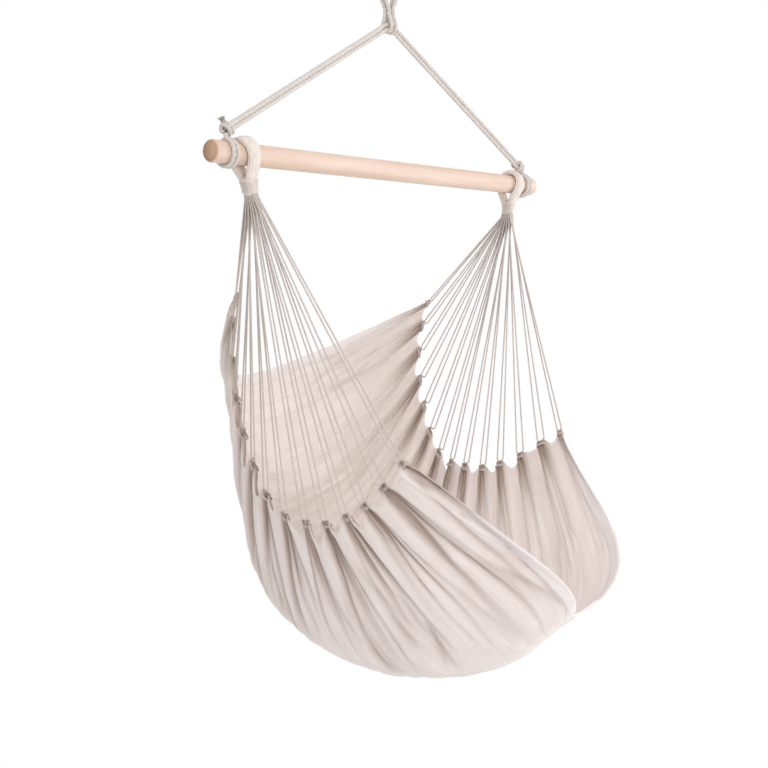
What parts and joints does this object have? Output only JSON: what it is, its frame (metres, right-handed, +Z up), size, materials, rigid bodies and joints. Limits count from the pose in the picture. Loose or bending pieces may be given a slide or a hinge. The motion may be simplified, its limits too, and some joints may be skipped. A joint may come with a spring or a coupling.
{
  "type": "hammock chair",
  "caption": "Hammock chair: a cotton cloth seat hung by fans of cords from eyes on a wooden spreader bar, carried by a doubled rope from a hanging loop.",
  "frame": {"origin": "the inner top of the hanging loop, where a hook or carabiner carries the chair", "axes": "+X the way the sitter faces, +Y the sitter's left along the spreader bar, +Z up"},
  "size_m": [0.7965, 1, 1.3819],
  "materials": {
    "bar_wood": "satin",
    "rope": "matte",
    "served_eye": "matte",
    "clew_cord": "matte",
    "seat_cloth": "matte"
  },
  "bodies": {
    "hanging_loop": {"hanging_loop_front": "rope", "hanging_loop_back": "rope"},
    "apex": {"apex_knot": "rope"},
    "suspension": {"spreader_bar": "bar_wood", "leg_strand_upper_left": "rope", "leg_strand_lower_left": "rope", "bar_hitch_left": "rope", "hitch_knot_left": "rope", "hitch_tail_left": "rope", "leg_strand_upper_right": "rope", "leg_strand_lower_right": "rope", "bar_hitch_right": "rope", "hitch_knot_right": "rope", "hitch_tail_right": "rope"},
    "seat": {"seat_cloth": "seat_cloth", "clew_eye_left": "served_eye", "clew_whipping_left": "served_eye", "clew_eye_right": "served_eye", "clew_whipping_right": "served_eye", "clew_cord_left_01": "clew_cord", "clew_cord_left_02": "clew_cord", "clew_cord_left_03": "clew_cord", "clew_cord_left_04": "clew_cord", "clew_cord_left_05": "clew_cord", "clew_cord_left_06": "clew_cord", "clew_cord_left_07": "clew_cord", "clew_cord_left_08": "clew_cord", "clew_cord_left_09": "clew_cord", "clew_cord_left_10": "clew_cord", "clew_cord_left_11": "clew_cord", "clew_cord_left_12": "clew_cord", "clew_cord_left_13": "clew_cord", "clew_cord_left_14": "clew_cord", "clew_cord_right_01": "clew_cord", "clew_cord_right_02": "clew_cord", "clew_cord_right_03": "clew_cord", "clew_cord_right_04": "clew_cord", "clew_cord_right_05": "clew_cord", "clew_cord_right_06": "clew_cord", "clew_cord_right_07": "clew_cord", "clew_cord_right_08": "clew_cord", "clew_cord_right_09": "clew_cord", "clew_cord_right_10": "clew_cord", "clew_cord_right_11": "clew_cord", "clew_cord_right_12": "clew_cord", "clew_cord_right_13": "clew_cord", "clew_cord_right_14": "clew_cord"}
  },
  "joints": [
    {"name": "rope_twist", "type": "hinge", "parent": "hanging_loop", "child": "apex", "pos_m": [0, 0, -0.082], "axis": [0, 0, 1], "range_deg": [-180, 180]},
    {"name": "rope_swing", "type": "hinge", "parent": "apex", "child": "suspension", "pos_m": [0, 0, -0.106], "axis": [0, 1, 0], "range_deg": [-30, 30]},
    {"name": "seat_tilt", "type": "hinge", "parent": "suspension", "child": "seat", "pos_m": [0, 0, -0.39], "axis": [0, 1, 0], "range_deg": [-30, 30]}
  ]
}
